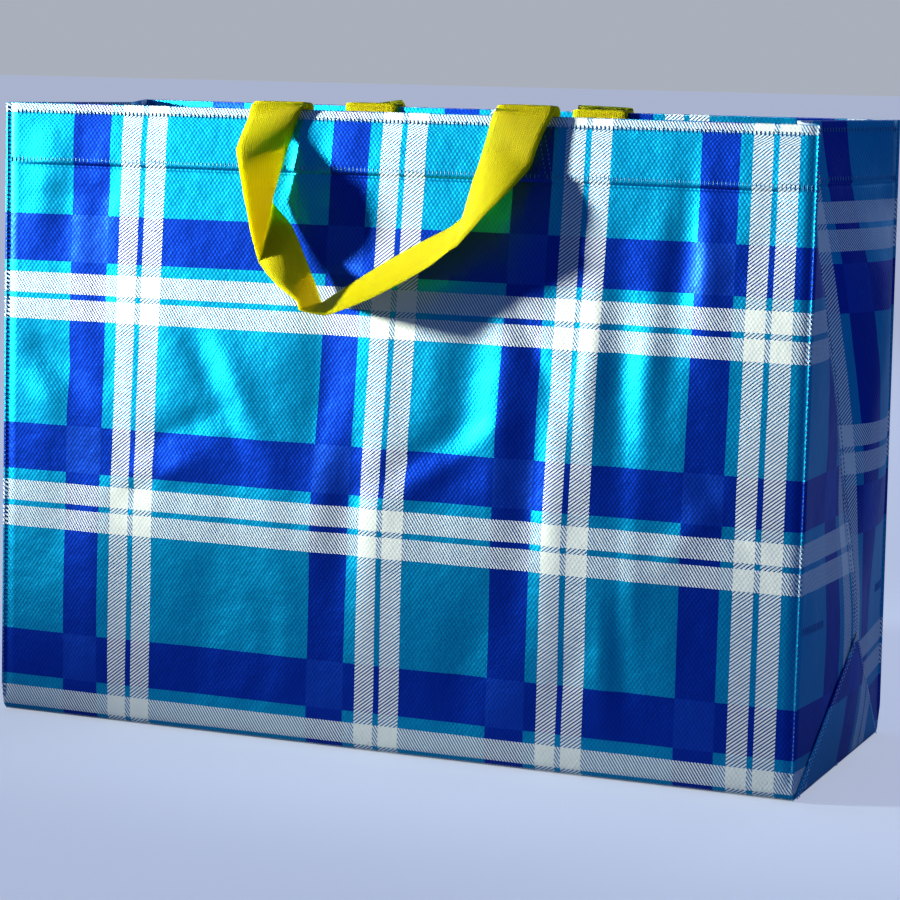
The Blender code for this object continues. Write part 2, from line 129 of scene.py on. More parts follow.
# Soft dents pressed into the front: middle x and z, half length, half width, angle from level, depth; in mm
FRONT_DENTS = [
    (-236, 236, 34, 10, -35, 1.6),
    (-246, 214, 30, 9, -38, -1.3),
    (-120, 226, 44, 9, -62, 1.6),
    (-101, 219, 40, 10, -60, -1.5),
    (-142, 196, 30, 8, 24, 1.2),
    (-152, 168, 24, 7, 18, -1.3),
    (-166, 160, 22, 6, 40, 1.1),
    (-44, 232, 60, 16, 88, 2.0),
    (-36, 178, 54, 12, 80, -1.4),
    (22, 190, 40, 7, 34, 1.2),
    (38, 182, 44, 6, 36, -1.1),
    (52, 236, 60, 14, 82, 1.8),
    (76, 214, 44, 9, 86, -1.4),
    (134, 246, 62, 8, 88, -1.7),
    (152, 236, 66, 9, 92, 1.8),
    (172, 250, 52, 8, 88, -1.4),
    (186, 300, 60, 9, 86, 1.3),
    (204, 312, 56, 7, 94, -1.2),
    (148, 82, 34, 8, 92, -1.6),
    (160, 76, 30, 8, 96, 1.4),
    (128, 66, 30, 9, 60, 1.0),
    (196, 150, 32, 8, 52, -1.2),
    (-250, 330, 40, 9, 70, -0.8),
    (-226, 336, 36, 8, 82, 0.6),
    (-196, 352, 26, 7, 70, 0.7),
    (-66, 372, 24, 5, 84, -0.9),
    (-74, 366, 22, 4, 78, 0.9),
    (96, 366, 28, 5, 82, 0.9),
    (66, 370, 24, 5, 96, -0.8),
    (-74, 370, 12, 3, 76, 1.0),
    (-81, 368, 12, 3, 90, -0.8),
    (-27, 150, 80, 14, 88, 1.6),
    (-6, 160, 70, 12, 86, -1.2),
    (95, 160, 84, 12, 86, 1.7),
    (112, 150, 70, 10, 90, -1.5),
    (93, 262, 48, 7, -62, 1.4),
    (218, 172, 34, 6, -52, 1.3),
    (-232, 341, 42, 3, 2, 1.0),
    (166, 120, 40, 5, 90, -1.2),
    (60, 70, 40, 14, 80, 1.2),
    (-120, 80, 46, 16, 84, 1.0),
    (-200, 90, 50, 14, 92, -1.0),
]


def fade_at_edges(x, z):
    """Let dents die out at the sewn edges, the hem and the base."""
    side = 1.0 - ease(BAG_WIDTH / 2 - 0.030, BAG_WIDTH / 2 - 0.004, abs(x))
    return side * ease(0.004, 0.040, z) * (1.0 - 0.75 * ease(0.375, 0.399, z))


def crumple(x, z, seed):
    """Small uneven wrinkles of a thin stiff film, a few tenths of a millimetre high."""
    broad = noise.noise(Vector((x * 9.0, z * 7.0, seed)))
    folds = noise.noise(Vector((x * 34.0 + 2.0 * broad, z * 15.0, seed + 5.0)))
    fine = noise.noise(Vector((x * 70.0, z * 55.0, seed + 9.0)))
    return 0.0016 * broad + 0.0008 * folds + 0.0002 * fine


def bow(x, z):
    """How far the upper part of a long side bows inwards between its corners."""
    rise = max((z - BOW_FOOT) / (BAG_HEIGHT - BOW_FOOT), 0.0)
    along_rim = max(1.0 - abs(2.0 * x / BAG_WIDTH) ** 2.2, 0.0)
    return BOW_AT_RIM * 1.12 * rise ** 2 / (rise + 0.12) * along_rim


def hem_step(z):
    """The turned-in hem stands out a little, and its stitched edge pulls a fine groove."""
    raised = HEM_PROUD * ease(HEM_FOOT - 0.0008, HEM_FOOT + 0.0012, z)
    return raised - HEM_GROOVE * math.exp(-((z - HEM_FOOT + 0.0004) / 0.0010) ** 2)


def front_relief(x, z):
    """How far the front stands out of its flat plane."""
    total = hem_step(z)
    for mid_x, mid_z, long, short, angle, depth in FRONT_DENTS:
        across = 1000.0 * x - mid_x
        up = 1000.0 * z - mid_z
        turn = math.radians(angle)
        along = across * math.cos(turn) + up * math.sin(turn)
        beside = -across * math.sin(turn) + up * math.cos(turn)
        reach = (along / long) ** 2 + (beside / short) ** 2
        if reach < 9.0:
            total -= DENT_SCALE * depth * math.exp(-reach) / 1000.0
    return (total + crumple(x, z, 1.0)) * fade_at_edges(x, z) - bow(x, z)


def back_relief(x, z):
    """How far the back stands out of its flat plane."""
    return (hem_step(z) + 1.6 * crumple(x, z, 21.0)) * fade_at_edges(x, z) - bow(x, z)


def end_relief(across, z, seed):
    """Wrinkles of a folded end, outwards."""
    fade = (1.0 - ease(0.80, 1.0, abs(across))) * ease(0.05, 0.12, z) * (1.0 - 0.75 * ease(0.375, 0.399, z))
    hem = hem_step(z) * (1.0 - ease(0.9, 1.0, abs(across)))
    return 1.1 * crumple(across * 0.1, z, seed) * fade + hem


# Columns round the bag: long sides, ends, and the pinched edges that are sewn between them
LONG_STEPS = 104
END_STEPS = 20
long_shares = [2.0 * i / LONG_STEPS - 1.0 for i in range(LONG_STEPS + 1)]
end_shares = sorted([i / END_STEPS - 1.0 for i in range(2 * END_STEPS + 1)] + [-SEAM_SHARE, SEAM_SHARE])
columns = [("front", share) for share in long_shares] + [("edge", 0, i) for i in range(EDGE_POINTS)]
columns += [("right", share) for share in end_shares] + [("edge", 1, i) for i in range(EDGE_POINTS)]
columns += [("back", -share) for share in long_shares] + [("edge", 2, i) for i in range(EDGE_POINTS)]
columns += [("left", -share) for share in end_shares] + [("edge", 3, i) for i in range(EDGE_POINTS)]
OUTWARD = {"front": Vector((0, -1, 0)), "back": Vector((0, 1, 0)), "right": Vector((1, 0, 0)),
           "left": Vector((-1, 0, 0))}


def wall_point(column, height, pinch):
    """A point of the outer face of the wall."""
    half_x = BAG_WIDTH / 2 - rounded_in(END_RADIUS, height)
    half_y = half_depth(height) - rounded_in(BOTTOM_RADIUS, height)
    kind, share = column[0], column[1]
    if kind == "front":
        x = share * (half_x - CREASE_FOOT)
        return Vector((x, -half_y - front_relief(x, height), height))
    if kind == "back":
        x = share * (half_x - CREASE_FOOT)
        return Vector((x, half_y + back_relief(x, height), height))
    if kind in ("right", "left"):
        side = 1.0 if kind == "right" else -1.0
        seam = SEAM_PROUD * max(1.0 - abs(share) / SEAM_SHARE, 0.0)
        out = half_x + gusset_offset(share, height) + end_relief(share, height, 31.0 + 10.0 * side) + seam
        return Vector((side * out, share * (half_y - CREASE_FOOT), height))
    side_x = 1.0 if share in (0, 1) else -1.0
    side_y = -1.0 if share in (0, 3) else 1.0
    step = column[2] if share in (0, 2) else EDGE_POINTS - 1 - column[2]
    if step < 3:
        in_x, in_y, out_x, out_y = EDGE_PROFILE[step]
    else:
        in_y, in_x, out_y, out_x = EDGE_PROFILE[EDGE_POINTS - 1 - step]
    corner_x = half_x + in_x + out_x * pinch
    corner_y = half_y + in_y + out_y * pinch
    return Vector((side_x * corner_x, side_y * corner_y, height))


# How the print lies on the folded strip
PRINT_LIFT_AT_RIM = 0.0035
PRINT_SKEW = 0.33
BACK_PRINT_SHIFT = 0.008
EAR_PRINT_SHIFT = 0.0312
EAR_SHIFT_BEFORE_Y = -0.0745


def front_along(height):
    """Distance down the sheet from the front rim."""
    askew = PRINT_LIFT_AT_RIM * ease(BAG_HEIGHT - 0.014, BAG_HEIGHT - 0.006, height)
    return BAG_HEIGHT - BOTTOM_RADIUS + rounded_run(BOTTOM_RADIUS, height) - askew


def base_along(y):
    """Distance along the sheet from the front rim, under the base and on the ears."""
    return front_along(0.0) + y + BASE_DEPTH / 2 - BOTTOM_RADIUS - 0.012


def back_along(height):
    """Distance along the sheet from the front rim, up the back."""
    return 2.0 * BAG_HEIGHT + BASE_DEPTH + 0.004 - front_along(height)


def across_sheet(points, height):
    """Distance across the sheet for each column of one row, from the front's left edge.

    The print runs a little askew, up to 5 mm where the rim bows in.
    """
    placed = [0.0] * len(columns)
    for i, column in enumerate(columns):
        if column[0] in ("front", "back"):
            x = column[1] * (BAG_WIDTH / 2 - CREASE_FOOT)
            placed[i] = BAG_WIDTH / 2 + x - PRINT_SKEW * bow(x, height)
        elif column[0] == "edge":
            onward = 0.0012 * (column[2] - 2) * (1.0 if column[1] in (0, 3) else -1.0)
            placed[i] = BAG_WIDTH + onward if column[1] in (0, 1) else onward
    for kind, start, sign in (("right", BAG_WIDTH, 1.0), ("left", 0.0, -1.0)):
        members = [i for i, column in enumerate(columns) if column[0] == kind]
        runs = [0.0]
        for i, j in zip(members, members[1:]):
            runs.append(runs[-1] + (points[j] - points[i]).length)
        middle = runs[len(runs) // 2]
        for i, run in zip(members, runs):
            near = run / middle if run <= middle else (runs[-1] - run) / (runs[-1] - middle)
            placed[i] = start + sign * (CREASE_FOOT + near * (BASE_DEPTH / 2 - CREASE_FOOT))
    return placed


# Heights of the rows of points up the wall, closer together at the bottom edge and at the hem's foot
WALL_STEPS = 72
HEM_STEPS = 9
wall_rows = [0.0, 0.0006, 0.0013, 0.002, 0.0035, 0.0055, 0.008]
wall_rows += [0.008 + (HEM_FOOT - 0.0108) * i / WALL_STEPS for i in range(1, WALL_STEPS + 1)]
wall_rows += [HEM_FOOT + d for d in (-0.0015, -0.0006, 0.0, 0.0006, 0.0015, 0.003)]
wall_rows += [HEM_FOOT + 0.003 + (HEM_HEIGHT - 0.0036) * i / HEM_STEPS for i in range(1, HEM_STEPS + 1)]

sheet_mesh = bmesh.new()
sheet_uv = sheet_mesh.loops.layers.uv.new("sheet")
rings = []
for height in wall_rows:
    pinch = ease(0.006, 0.020, height)
    points = [wall_point(column, height, pinch) for column in columns]
    rings.append((height, points, across_sheet(points, height)))
_, top_points, top_across = rings[-1]
inward = []
for column, point in zip(columns, top_points):
    if column[0] == "edge":
        inward.append(Vector((-1.0 if point.x > 0.0 else 1.0, -1.0 if point.y > 0.0 else 1.0, 0.0)))
    else:
        inward.append(-OUTWARD[column[0]])
for step in (0.25, 0.75):
    ring = [p + n * HEM_GAP * step + Vector((0, 0, RIM_LIFT)) for p, n in zip(top_points, inward)]
    rings.append((2.0 * BAG_HEIGHT - 0.0001, ring, top_across))
for i in range(HEM_STEPS):
    height = BAG_HEIGHT - 0.0006 - (HEM_HEIGHT - 0.002) * i / (HEM_STEPS - 1)
    ring = [wall_point(column, height, 0.0) + turn * HEM_GAP for column, turn in zip(columns, inward)]
    rings.append((2.0 * BAG_HEIGHT - height, ring, top_across))
rows = [[sheet_mesh.verts.new(p) for p in ring] for _, ring, _ in rings]


def sheet_place(row, column, back):
    """Where a corner of the mesh lies on the flat printed strip; the hem runs on past the rim."""
    height, _, across = rings[row]
    along = back_along(height) if back else front_along(height)
    return across[column] - (BACK_PRINT_SHIFT if back else 0.0), along


count = len(columns)
for row in range(len(rows) - 1):
    for i in range(count):
        j = (i + 1) % count
        here, there = columns[i], columns[j]
        if here[0] in ("right", "left") and there[0] == here[0]:
            back = here[1] + there[1] > 0.0
        elif here[0] == "edge":
            back = here[1] in (1, 2)
        elif there[0] == "edge":
            back = there[1] in (1, 2)
        else:
            back = here[0] == "back"
        face = sheet_mesh.faces.new((rows[row][i], rows[row][j], rows[row + 1][j], rows[row + 1][i]))
        corners = ((row, i), (row, j), (row + 1, j), (row + 1, i))
        for loop, corner in zip(face.loops, corners):
            loop[sheet_uv].uv = sheet_place(*corner, back)
        face.smooth = True

# Base: strips between the front and back columns, with the end columns joined to the last ones
front_ids = [i for i, column in enumerate(columns) if column[0] == "front"]
back_ids = [i for i, column in enumerate(columns) if column[0] == "back"][::-1]
BASE_STEPS = 24
base_grid = []
for front_id, back_id in zip(front_ids, back_ids):
    line = [rows[0][front_id]]
    for k in range(1, BASE_STEPS):
        line.append(sheet_mesh.verts.new(rows[0][front_id].co.lerp(rows[0][back_id].co, k / BASE_STEPS)))
    line.append(rows[0][back_id])
    base_grid.append(line)
for line, following in zip(base_grid, base_grid[1:]):
    for k in range(BASE_STEPS):
        face = sheet_mesh.faces.new((line[k], line[k + 1], following[k + 1], following[k]))
        face.smooth = True
        for loop in face.loops:
            loop[sheet_uv].uv = (loop.vert.co.x + BAG_WIDTH / 2, base_along(loop.vert.co.y))
for kind, line in (("right", base_grid[-1]), ("left", base_grid[0])):
    ring = [i for i, column in enumerate(columns) if column[0] == kind]
    border = [rows[0][i] for i in range(ring[0] - EDGE_POINTS, ring[-1] + EDGE_POINTS + 1)]
    if kind == "left":
        border.reverse()
    loop_verts = line[::-1] + border if kind == "right" else border[::-1] + line
    face = sheet_mesh.faces.new(loop_verts)
    for loop in face.loops:
        loop[sheet_uv].uv = (loop.vert.co.x + BAG_WIDTH / 2, base_along(loop.vert.co.y))

# Ears: the boxed corner is folded up against the end as a flat triangle and sewn along both slopes
EAR_ROWS = 26
EAR_HALF_STEPS = 12
for side in (1.0, -1.0):
    kept = []
    for i in range(EAR_ROWS + 1):
        up = i / EAR_ROWS
        height = 0.0008 + (EAR_HEIGHT - 0.0008) * up
        reach = 1.0 - up
        line = []
        for k in range(-EAR_HALF_STEPS, EAR_HALF_STEPS + 1):
            share = reach * k / EAR_HALF_STEPS
            half_y = half_depth(height) - CREASE_FOOT
            out = BAG_WIDTH / 2 - rounded_in(END_RADIUS, height) + gusset_offset(share, height)
            edge = 1.0 - ease(0.86, 1.0, abs(k) / EAR_HALF_STEPS)
            puff = 0.0012 * math.sin(math.pi * min(up * 1.2, 1.0)) * (1.0 - (k / EAR_HALF_STEPS) ** 2)
            puff += 0.0005 * noise.noise(Vector((share * 4.0, height * 40.0, 60.0 + side))) * edge
            proud = EAR_PROUD * ease(0.0, 0.04, up)
            line.append(sheet_mesh.verts.new((side * (out + proud + puff), share * half_y, height)))
            if i == EAR_ROWS:
                break
        kept.append(line)
    for line, following in zip(kept, kept[1:]):
        for k in range(2 * EAR_HALF_STEPS):
            if len(following) == 1:
                corners = [line[k], line[k + 1], following[0]]
            else:
                corners = [line[k], line[k + 1], following[k + 1], following[k]]
            face = sheet_mesh.faces.new(corners if side > 0.0 else corners[::-1])
            face.smooth = True
            shift = EAR_PRINT_SHIFT if face.calc_center_median().y < EAR_SHIFT_BEFORE_Y else 0.0
            for loop in face.loops:
                spot = loop.vert.co
                turned = BAG_WIDTH + spot.z if side > 0.0 else -spot.z
                loop[sheet_uv].uv = (turned, base_along(spot.y) + shift)


def new_object(name, data):
    """Put data in the scene as an object; a finished bmesh becomes a mesh first."""
    if isinstance(data, bmesh.types.BMesh):
        finished, data = data, bpy.data.meshes.new(name)
        finished.to_mesh(data)
        finished.free()
    made = bpy.data.objects.new(name, data)
    bpy.context.scene.collection.objects.link(made)
    return made


sheet_mesh.normal_update()
printed_sheet = new_object("printed_sheet", sheet_mesh)
thickness = printed_sheet.modifiers.new("film and weave", "SOLIDIFY")
thickness.thickness = SHEET_THICKNESS
thickness.offset = -1.0
thickness.material_offset = 1
thickness.use_rim = True


def linear(hex_colour):
    """Turn an sRGB hex colour into linear red, green and blue."""
    parts = [int(hex_colour[i:i + 2], 16) / 255 for i in (1, 3, 5)]
    return [c / 12.92 if c <= 0.04045 else ((c + 0.055) / 1.055) ** 2.4 for c in parts]


def add_node(tree, kind, links=None, **settings):
    """Add a node with its settings, and link or set its inputs."""
    node = tree.nodes.new(kind)
    for name, value in settings.items():
        setattr(node, name, value)
    for socket, value in (links or {}).items():
        if isinstance(value, bpy.types.NodeSocket):
            tree.links.new(value, node.inputs[socket])
        else:
            node.inputs[socket].default_value = value
    return node


def new_material(name):
    """Start a material and return it with its node tree and its shader."""
    material = bpy.data.materials.new(name)
    material.use_nodes = True
    return material, material.node_tree, material.node_tree.nodes["Principled BSDF"]


# Printed laminate: glossy film over flat woven tape. The weave's glints are painted into the colour as a
# lattice of small bright dots with painted shade between them, and the white stripes are printed as slanted
# lines on the ground.
TURQUOISE = linear("#00A0CE")
ROYAL_BLUE = linear("#0036AC")
PALE_BLUE = linear("#1046BC")
WHITE_INK = linear("#EDEFEA")
CREAM_INK = linear("#F1EEDF")
REPEAT_ACROSS = 0.122
REPEAT_ALONG = 0.1365
FIRST_BLUE_ACROSS = 0.0450
FIRST_BLUE_ALONG = 0.0710
BLUE_WIDTH_ACROSS = 0.0252
BLUE_WIDTH_ALONG = 0.0300
BLUE_TO_WHITE = 0.0078
WHITE_WIDTH = 0.0132
WHITE_GAP = 0.0038
WIDE_FIELD_END = 0.164
WIDE_FIELD_EXTRA = 0.054
CLIMBING_PITCH_MM = (2.92, 2.31)
FALLING_PITCH_MM = (2.0, -3.0)
WARP_TAPE_MM = 1.38
WEFT_TAPE_MM = 1.95

laminate, tree, shader = new_material("laminated_woven_polypropylene")
place = add_node(tree, "ShaderNodeUVMap", uv_map="sheet")
split = add_node(tree, "ShaderNodeSeparateXYZ", {0: place.outputs[0]})
past = add_node(tree, "ShaderNodeMath", {0: split.outputs[0], 1: WIDE_FIELD_END}, operation="GREATER_THAN")
shift = add_node(tree, "ShaderNodeMath", {0: past.outputs[0], 1: -WIDE_FIELD_EXTRA, 2: split.outputs[0]},
                 operation="MULTIPLY_ADD")
fields = []
for distance, repeat, first, blue_width in (
        (shift.outputs[0], REPEAT_ACROSS, FIRST_BLUE_ACROSS, BLUE_WIDTH_ACROSS),
        (split.outputs[1], REPEAT_ALONG, FIRST_BLUE_ALONG, BLUE_WIDTH_ALONG)):
    moved = add_node(tree, "ShaderNodeMath", {0: distance, 1: first - 10 * repeat}, operation="SUBTRACT")
    share = add_node(tree, "ShaderNodeMath", {0: moved.outputs[0], 1: repeat}, operation="DIVIDE")
    share = add_node(tree, "ShaderNodeMath", {0: share.outputs[0]}, operation="FRACT")
    ramp = add_node(tree, "ShaderNodeValToRGB", {0: share.outputs[0]})
    ramp.color_ramp.interpolation = "CONSTANT"
    first_white = blue_width + BLUE_TO_WHITE
    second_white = first_white + WHITE_WIDTH + WHITE_GAP
    starts = (0.0, blue_width, first_white, first_white + WHITE_WIDTH, second_white,
              second_white + WHITE_WIDTH)
    marks = ((1, 0, 0, 1), (0, 0, 0, 1), (0, 1, 0, 1), (0, 0, 0, 1), (0, 1, 0, 1), (0, 0, 0, 1))
    stops = ramp.color_ramp.elements
    while len(stops) < len(starts):
        stops.new(1.0)
    for stop, start, mark in zip(stops, starts, marks):
        stop.position = start / repeat
        stop.color = mark
    fields.append(add_node(tree, "ShaderNodeSeparateColor", {0: ramp.outputs[0]}))
warp, weft = fields

# White lines of the stripes, 1.7 to 1.8 mm apart: they climb to the right on the upright stripes and fall
# steeply on the level ones
lines = []
for across_mm, along_mm in (CLIMBING_PITCH_MM, FALLING_PITCH_MM):
    term = add_node(tree, "ShaderNodeMath", {0: split.outputs[0], 1: 2000 * math.pi / across_mm},
                    operation="MULTIPLY")
    phase = add_node(tree, "ShaderNodeMath",
                     {0: split.outputs[1], 1: 2000 * math.pi / along_mm, 2: term.outputs[0]},
                     operation="MULTIPLY_ADD")
    wave = add_node(tree, "ShaderNodeMath", {0: phase.outputs[0]}, operation="SINE")
    lines.append(add_node(tree, "ShaderNodeMapRange", {0: wave.outputs[0], 1: -0.75, 2: 0.25},
                          interpolation_type="SMOOTHSTEP"))
climbing = add_node(tree, "ShaderNodeMath", {0: warp.outputs[1], 1: lines[0].outputs[0]},
                    operation="MULTIPLY")
falling = add_node(tree, "ShaderNodeMath", {0: weft.outputs[1], 1: lines[1].outputs[0]},
                   operation="MULTIPLY")
striped = add_node(tree, "ShaderNodeMath", {0: climbing.outputs[0], 1: falling.outputs[0]},
                   operation="MAXIMUM")
crossing = add_node(tree, "ShaderNodeMath", {0: warp.outputs[1], 1: weft.outputs[1]}, operation="MULTIPLY")
on_white = add_node(tree, "ShaderNodeMath", {0: warp.outputs[1], 1: weft.outputs[1]}, operation="MAXIMUM")
blue = add_node(tree, "ShaderNodeMath", {0: warp.outputs[0], 1: weft.outputs[0]}, operation="MAXIMUM")
blue_twice = add_node(tree, "ShaderNodeMath", {0: warp.outputs[0], 1: weft.outputs[0]},
                      operation="MULTIPLY")

# Weave of flat tapes, warp 1.4 mm and weft 2 mm apart, as a lattice of raised crossings
warp_wave = add_node(tree, "ShaderNodeMath", {0: split.outputs[0], 1: 1000 * math.pi / WARP_TAPE_MM},
                     operation="MULTIPLY")
warp_wave = add_node(tree, "ShaderNodeMath", {0: warp_wave.outputs[0]}, operation="SINE")
weft_wave = add_node(tree, "ShaderNodeMath", {0: split.outputs[1], 1: 1000 * math.pi / WEFT_TAPE_MM},
                     operation="MULTIPLY")
weft_wave = add_node(tree, "ShaderNodeMath", {0: weft_wave.outputs[0]}, operation="SINE")
weave = add_node(tree, "ShaderNodeMath", {0: warp_wave.outputs[0], 1: weft_wave.outputs[0]},
                 operation="MULTIPLY")
# Painted highlight and shade of the weave: the ground's colour is scaled up on the tape crossings and down
# between them
painted_weave_glints_and_shade = add_node(tree, "ShaderNodeMapRange", {0: weave.outputs[0], 1: -0.8, 2: 0.9, 3: 0.80, 4: 1.14})

ground = add_node(tree, "ShaderNodeMix", {0: blue.outputs[0], 6: (*TURQUOISE, 1), 7: (*ROYAL_BLUE, 1)},
                  data_type="RGBA")
ground = add_node(tree, "ShaderNodeMix", {0: blue_twice.outputs[0], 6: ground.outputs[2],
                                          7: (*PALE_BLUE, 1)}, data_type="RGBA")
ground = add_node(tree, "ShaderNodeVectorMath", {0: ground.outputs[2], 3: painted_weave_glints_and_shade.outputs[0]},
                  operation="SCALE")
gaps = add_node(tree, "ShaderNodeMix", {0: on_white.outputs[0], 6: (1, 1, 1, 1), 7: (0.46, 0.54, 0.62, 1)},
                data_type="RGBA")
ground = add_node(tree, "ShaderNodeVectorMath", {0: ground.outputs[0], 1: gaps.outputs[2]},
                  operation="MULTIPLY")
printed = add_node(tree, "ShaderNodeMix", {0: striped.outputs[0], 6: ground.outputs[0], 7: (*WHITE_INK, 1)},
                   data_type="RGBA")
printed = add_node(tree, "ShaderNodeMix", {0: crossing.outputs[0], 6: printed.outputs[2],
                                           7: (*CREAM_INK, 1)}, data_type="RGBA")
tree.links.new(printed.outputs[2], shader.inputs["Base Color"])
inked = add_node(tree, "ShaderNodeMath", {0: striped.outputs[0], 1: crossing.outputs[0]},
                 operation="MAXIMUM")
sheen = add_node(tree, "ShaderNodeMapRange", {0: inked.outputs[0], 3: 0.94, 4: 0.0})
tree.links.new(sheen.outputs[0], shader.inputs["Metallic"])
shader.inputs["Roughness"].default_value = 0.42
shader.inputs["IOR"].default_value = 1.49
shader.inputs["Coat Weight"].default_value = 0.12
shader.inputs["Coat Roughness"].default_value = 0.2
ripples = add_node(tree, "ShaderNodeTexNoise", {0: place.outputs[0], 2: 75.0, 3: 3.0, 4: 0.55})
relief = add_node(tree, "ShaderNodeBump", {"Strength": 0.3, "Distance": 0.0016,
                                           "Height": ripples.outputs[0]})
relief = add_node(tree, "ShaderNodeBump", {"Strength": 0.22, "Distance": 0.0002, "Height": weave.outputs[0],
                                           "Normal": relief.outputs[0]})
tree.links.new(relief.outputs[0], shader.inputs["Normal"])

# Inner side: the bare weave, blue-white, matt, with its 1.7 mm tapes showing
INNER_TAPE_MM = 1.7
bare_weave, tree, shader = new_material("unprinted_woven_polypropylene")
place = add_node(tree, "ShaderNodeUVMap", uv_map="sheet")
tapes = add_node(tree, "ShaderNodeTexChecker", {0: place.outputs[0], 1: (*linear("#9FB9C6"), 1),
                                                2: (*linear("#B4CAD4"), 1),
                                                3: 1000 / INNER_TAPE_MM})
tree.links.new(tapes.outputs[0], shader.inputs["Base Color"])
shader.inputs["Roughness"].default_value = 0.5
relief = add_node(tree, "ShaderNodeBump", {"Strength": 0.4, "Distance": 0.0002, "Height": tapes.outputs[1]})
tree.links.new(relief.outputs[0], shader.inputs["Normal"])

printed_sheet.data.materials.append(laminate)
printed_sheet.data.materials.append(bare_weave)
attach(printed_sheet, "root")
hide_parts("bag_body")


# Sewing thread
# Blue polyester thread in three tones: upright ticks along both edges of the hem and on the handles' tails
# in the thread's own blue, dashes down the pinched edges, up the end seams and above the ears in a darker
# copy as painted shade, and dots along the ears' slopes in a pale copy as painted glints.

THREAD_RADIUS = 0.00036
THREAD_SIDES = 5
TICK_PITCH = 0.0027
DASH_LENGTH = 0.0017
DOT_LENGTH = 0.0013
HEM_TICK_HEIGHTS = (HEM_FOOT + 0.0004, HEM_FOOT + 0.0048)
RIM_TICK_HEIGHTS = (BAG_HEIGHT - 0.0074, BAG_HEIGHT - 0.0042)
END_ROW_HEIGHTS = (0.0985, 0.1050)
TAIL_ROWS_X = (0.0925, 0.0965)
EAR_DOT_STEPS = 40


def thread_mesh(stitches):
    """Raised threads, each from one point to another, with both ends sunk into the sheet."""
    mesh = bmesh.new()
    for start, end, outward in stitches:
        aside = (end - start).cross(outward).normalized()
        rings = []
        for share, lift, swell in ((0.0, -0.6, 0.5), (0.2, 0.3, 0.9), (0.5, 0.5, 1.0), (0.8, 0.3, 0.9),
                                   (1.0, -0.6, 0.5)):
            middle = start.lerp(end, share) + outward * THREAD_RADIUS * lift
            ring = []
            for k in range(THREAD_SIDES):
                turn = 2 * math.pi * k / THREAD_SIDES
                spoke = aside * math.cos(turn) + outward * math.sin(turn)
                ring.append(mesh.verts.new(middle + spoke * THREAD_RADIUS * swell))
            rings.append(ring)
        for ring, following in zip(rings, rings[1:]):
            for k in range(THREAD_SIDES):
                m = (k + 1) % THREAD_SIDES
                face = mesh.faces.new((ring[k], ring[m], following[m], following[k]))
                face.smooth = True
        mesh.faces.new(rings[0][::-1])
        mesh.faces.new(rings[-1])
    bmesh.ops.recalc_face_normals(mesh, faces=mesh.faces)
    return mesh


def ticks(kind, heights, from_share, to_share):
    """A row of upright ticks on one wall, from one share of its width to another."""
    span = BAG_WIDTH / 2 if kind in ("front", "back") else half_depth(heights[0])
    number = round((to_share - from_share) * span / TICK_PITCH)
    row = []
    for i in range(number + 1):
        share = from_share + (to_share - from_share) * i / number
        ends = [wall_point((kind, share), height, 1.0) for height in heights]
        row.append((*ends, OUTWARD[kind]))
    return row


hem_ticks = []
for kind in OUTWARD:
    hem_ticks += ticks(kind, HEM_TICK_HEIGHTS, -1.0, 1.0) + ticks(kind, RIM_TICK_HEIGHTS, -0.985, 0.985)

# Two upright rows that hold each handle's tail show beside its right leg
for side, relief in ((-1.0, front_relief), (1.0, back_relief)):
    for row_x in TAIL_ROWS_X:
        for i in range(9):
            x, height = row_x + 0.0006 * i, BAG_HEIGHT - 0.0110 - TICK_PITCH * i
            ends = [Vector((-side * x, side * (half_depth(z) + relief(-side * x, z)), z))
                    for z in (height, height - 0.0018)]
            hem_ticks.append((*ends, OUTWARD["front" if side < 0.0 else "back"]))

edge_dashes, ear_dots = [], []
for corner in range(4):
    side_x = 1.0 if corner in (0, 1) else -1.0
    side_y = -1.0 if corner in (0, 3) else 1.0
    outward = Vector((0.35 * side_x, side_y, 0.0)).normalized()
    for i in range(round((BAG_HEIGHT - 0.012) / TICK_PITCH)):
        height = 0.010 + TICK_PITCH * i
        ends = [wall_point(("edge", corner, 1 if corner in (0, 2) else 3), height + d, 1.0)
                for d in (0.0, DASH_LENGTH)]
        edge_dashes.append((*ends, outward))


def ear_point(side, share, height, proud):
    """A point on the ear, raised off the end of the bag."""
    out = BAG_WIDTH / 2 - rounded_in(END_RADIUS, height) + gusset_offset(share, height) + proud
    return Vector((side * out, share * (half_depth(height) - CREASE_FOOT), height))


for kind in ("right", "left"):
    edge_dashes += ticks(kind, END_ROW_HEIGHTS, -0.97, -0.62) + ticks(kind, END_ROW_HEIGHTS, 0.72, 0.97)
    for i in range(112):
        height = EAR_HEIGHT + 0.004 + TICK_PITCH * i
        for share in (-0.030, 0.030):
            edge_dashes.append((wall_point((kind, share), height, 1.0),
                                wall_point((kind, share), height + 0.0016, 1.0), OUTWARD[kind]))

for side in (1.0, -1.0):
    for back_slope in (False, True):
        for inset in ((0.0022,) if back_slope else (0.0020, 0.0050)):
            for i in range(1, EAR_DOT_STEPS):
                height = EAR_HEIGHT * i / EAR_DOT_STEPS
                reach = 1.0 - height / EAR_HEIGHT - inset / (half_depth(0.0) * 0.64)
                if reach > 0.02:
                    share = reach if back_slope else -reach
                    spot = ear_point(side, share, height, EAR_PROUD + 0.0002)
                    slope = Vector((0.0, share * half_depth(0.0), -EAR_HEIGHT * reach)).normalized()
                    ear_dots.append((spot, spot + slope * DOT_LENGTH,
                                     OUTWARD["right" if side > 0.0 else "left"]))
